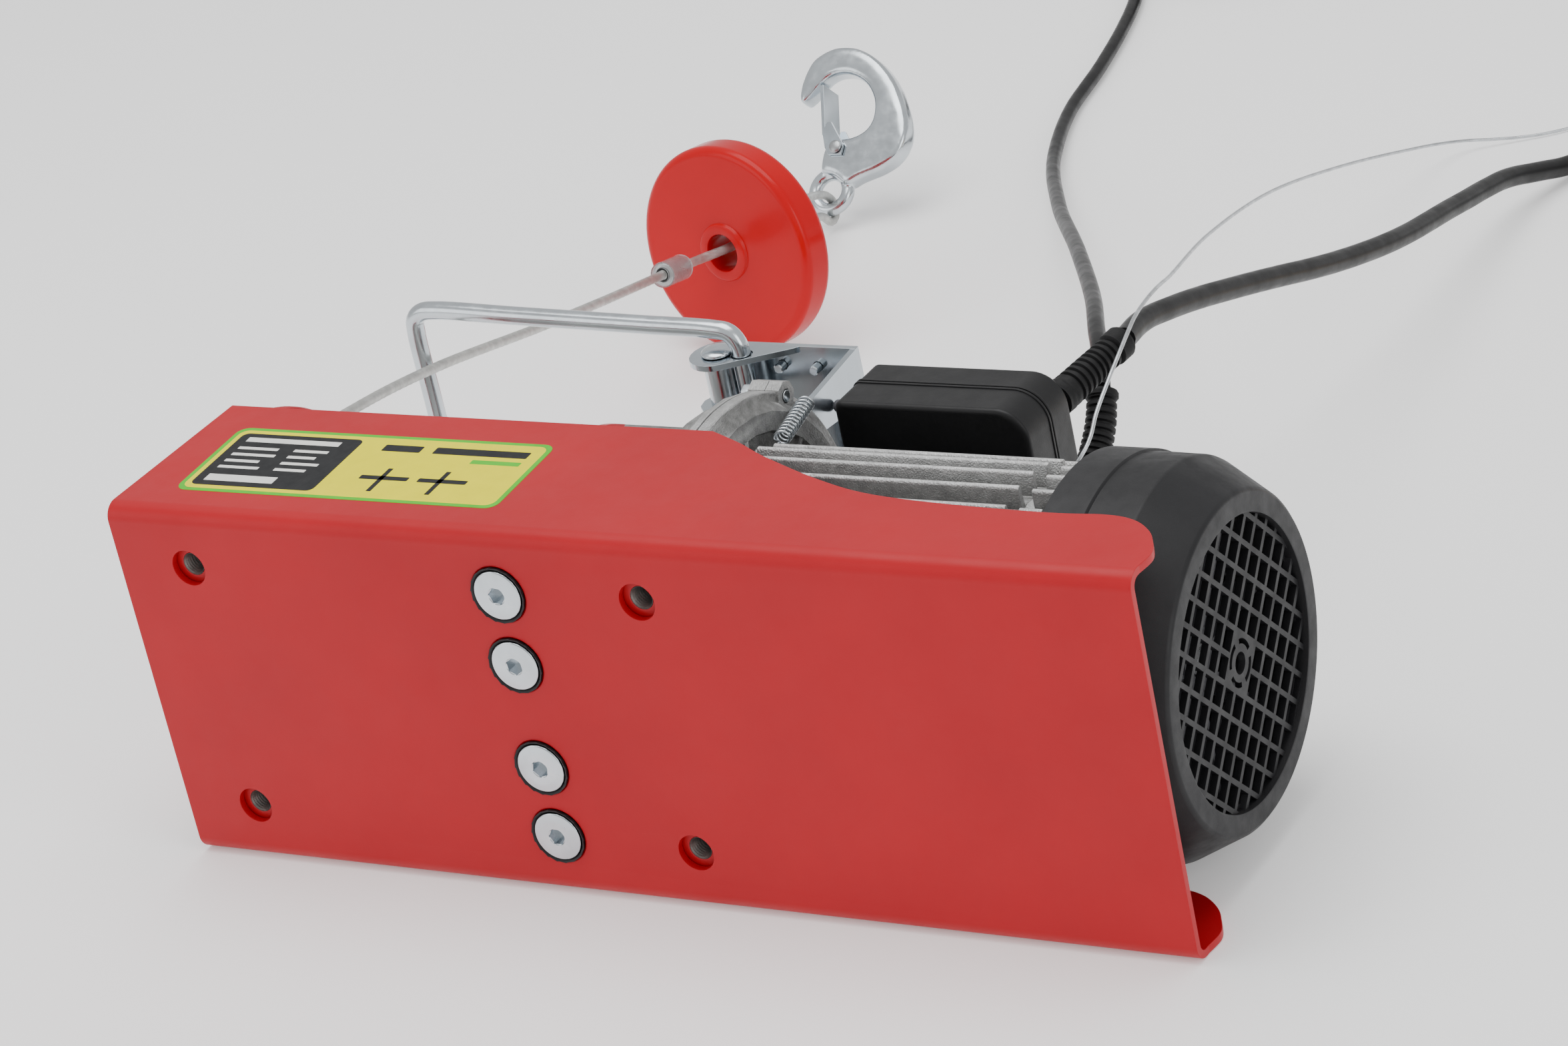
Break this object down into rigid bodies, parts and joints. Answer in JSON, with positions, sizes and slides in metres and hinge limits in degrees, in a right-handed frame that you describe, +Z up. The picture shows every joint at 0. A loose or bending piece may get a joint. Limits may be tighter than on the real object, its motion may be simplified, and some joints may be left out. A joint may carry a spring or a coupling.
{
  "type": "wire rope puller",
  "caption": "Electric wire rope puller lying on its side: sheet frame, motor, rope drum, limit lever, stop weight, hook, mains lead and handset.",
  "frame": {"origin": "centre of the base of the box round the rigid parts, on the surface the part lies on", "axes": "+X along the drum and motor axis towards the fan cover, +Y away from the mounting plate, +Z up from the flange it lies on"},
  "size_m": [0.5584, 0.994, 0.15],
  "materials": {
    "red_paint": "semi-gloss powder coat",
    "cast_aluminium": "die cast, lightly sparkling",
    "zinc_plate": "bright zinc plate",
    "machined_steel": "turned and ground",
    "copper_winding": "enamelled winding",
    "black_plastic": "fine grain, satin",
    "grey_plastic": "moulded",
    "wire_rope": "galvanised strand, lightly oiled",
    "ferrule_metal": "pressed sleeve",
    "red_gloss": "glossy moulding",
    "cable_jacket": "smooth jacket",
    "capacitor_can": "plain can",
    "handset_yellow": "moulded shell",
    "stop_red": "moulded"
  },
  "bodies": {
    "base": {"frame_channel": "red_paint", "weld_nut_1": "red_paint", "weld_nut_2": "red_paint", "weld_nut_3": "red_paint", "weld_nut_4": "red_paint", "clamp_screw_1": "zinc_plate", "clamp_screw_2": "zinc_plate", "clamp_screw_3": "zinc_plate", "clamp_screw_4": "zinc_plate", "casing_screw_1": "zinc_plate", "casing_screw_2": "zinc_plate", "pivot_bracket": "zinc_plate", "pivot_pin": "zinc_plate", "pivot_spacer": "zinc_plate", "return_spring": "zinc_plate", "gearbox_housing": "cast_aluminium", "gearbox_cover": "cast_aluminium", "motor_housing": "cast_aluminium", "rear_end_shield": "cast_aluminium", "bearing_drum": "machined_steel", "bearing_front": "machined_steel", "bearing_rear": "machined_steel", "stator": "copper_winding", "fan_cover": "black_plastic", "switch_box_base": "black_plastic", "switch_box_lid": "black_plastic", "limit_switch": "grey_plastic", "run_capacitor": "capacitor_can", "strain_relief_pendant": "cable_jacket", "strain_relief_mains": "cable_jacket", "mains_lead": "cable_jacket", "mains_coil": "cable_jacket", "mains_plug": "cable_jacket", "pendant_cable": "cable_jacket", "pendant_coil": "cable_jacket", "rope_free": "wire_rope", "rope_bight": "wire_rope", "support_wire": "wire_rope", "rope_ferrule": "ferrule_metal", "pendant_back_shell": "handset_yellow", "pendant_front_shell": "handset_yellow"},
    "drum": {"drum": "red_paint", "rope_winding": "wire_rope", "drum_shaft": "machined_steel", "output_gear": "machined_steel"},
    "layshaft": {"layshaft_gear": "machined_steel"},
    "rotor": {"rotor": "machined_steel", "cooling_fan": "black_plastic"},
    "lever": {"lever_plate": "zinc_plate", "limit_rod": "zinc_plate", "lever_screw_1": "zinc_plate", "lever_screw_2": "zinc_plate"},
    "plunger": {"switch_plunger": "grey_plastic"},
    "weight": {"stop_weight": "red_gloss"},
    "hook": {"hook": "zinc_plate", "latch_pin": "zinc_plate"},
    "latch": {"hook_latch": "zinc_plate"},
    "up_key": {"button_up": "black_plastic"},
    "down_key": {"button_down": "black_plastic"},
    "stop_key": {"emergency_stop": "stop_red"}
  },
  "joints": [
    {"name": "drum_spin", "type": "hinge", "parent": "base", "child": "drum", "pos_m": [-0.14532, -0.24525, 0.075], "axis": [1, 0, 0], "continuous": true},
    {"name": "layshaft_spin", "type": "hinge", "parent": "base", "child": "layshaft", "pos_m": [-0.04532, -0.20175, 0.075], "axis": [1, 0, 0], "continuous": true},
    {"name": "rotor_spin", "type": "hinge", "parent": "base", "child": "rotor", "pos_m": [0.07468, -0.24925, 0.075], "axis": [1, 0, 0], "continuous": true},
    {"name": "limit_lever", "type": "hinge", "parent": "base", "child": "lever", "pos_m": [-0.07382, -0.13025, 0.075], "axis": [0, 0, 1], "range_deg": [0, 10], "stiffness_Nm_per_rad": 0.6},
    {"name": "plunger_slide", "type": "slide", "parent": "base", "child": "plunger", "axis": [1, 0, 0], "range_m": [0, 0.0034]},
    {"name": "weight_slide", "type": "slide", "parent": "base", "child": "weight", "axis": [0.1761, 0.9844, 0], "range_m": [0, 0.004]},
    {"name": "hook_tilt", "type": "hinge", "parent": "base", "child": "hook", "pos_m": [-0.25305, 0.24891, 0.01017], "axis": [0.9945, 0.0706, 0.0774], "range_deg": [-35, 25]},
    {"name": "latch_hinge", "type": "hinge", "parent": "hook", "child": "latch", "pos_m": [-0.25173, 0.2688, 0.03196], "axis": [0, -0.7386, 0.6741], "range_deg": [-25, 0], "stiffness_Nm_per_rad": 0.05},
    {"name": "up_press", "type": "slide", "parent": "base", "child": "up_key", "axis": [0, 0, -1], "range_m": [0, 0.003], "stiffness_N_per_m": 400},
    {"name": "down_press", "type": "slide", "parent": "base", "child": "down_key", "axis": [0, 0, -1], "range_m": [0, 0.003], "stiffness_N_per_m": 400},
    {"name": "stop_press", "type": "slide", "parent": "base", "child": "stop_key", "axis": [0, 0, -1], "range_m": [0, 0.004], "stiffness_N_per_m": 500}
  ],
  "couplings": [
    {"joint": "layshaft_spin", "follows": "drum_spin", "ratio": -3.8333},
    {"joint": "rotor_spin", "follows": "drum_spin", "ratio": 32.583},
    {"joint": "plunger_slide", "follows": "limit_lever", "m_per_rad": 0.019}
  ]
}
